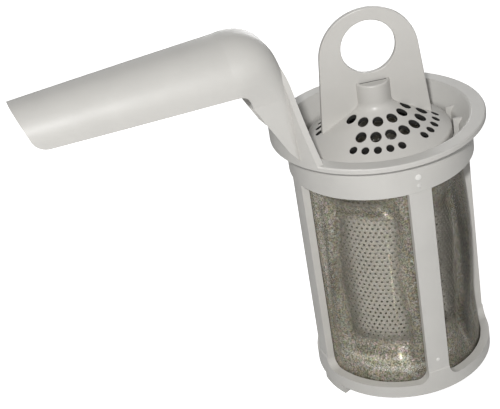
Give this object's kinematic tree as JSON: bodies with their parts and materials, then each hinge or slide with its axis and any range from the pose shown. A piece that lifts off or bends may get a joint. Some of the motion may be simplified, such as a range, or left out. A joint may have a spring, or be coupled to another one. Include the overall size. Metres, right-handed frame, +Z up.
{
  "type": "dishwasher drain filter",
  "caption": "Cylindrical drain filter: a caged fine mesh sleeve with a flange and a lever handle, and a coarse perforated insert with a finger plate that lifts out.",
  "frame": {"origin": "on the axis of the cylinder, at the underside of the flange, where the filter seats on the sump", "axes": "+Z up along the axis, out of the sump; the lever points along -X; two of the posts lie on X and two on Y"},
  "size_m": [0.1965, 0.093, 0.1805],
  "materials": {
    "plastic": "satin",
    "wire_cloth": "woven",
    "steel": "satin"
  },
  "bodies": {
    "micro_filter": {"handle_ring": "plastic", "filter_cage": "plastic", "fine_mesh": "wire_cloth"},
    "coarse_filter": {"coarse_cap": "plastic", "tube_collar": "plastic", "perforated_tube": "steel", "tube_floor": "steel"}
  },
  "joints": [
    {"name": "insert_lift", "type": "slide", "parent": "micro_filter", "child": "coarse_filter", "axis": [0, 0, 1], "range_m": [0, 0.13]}
  ]
}
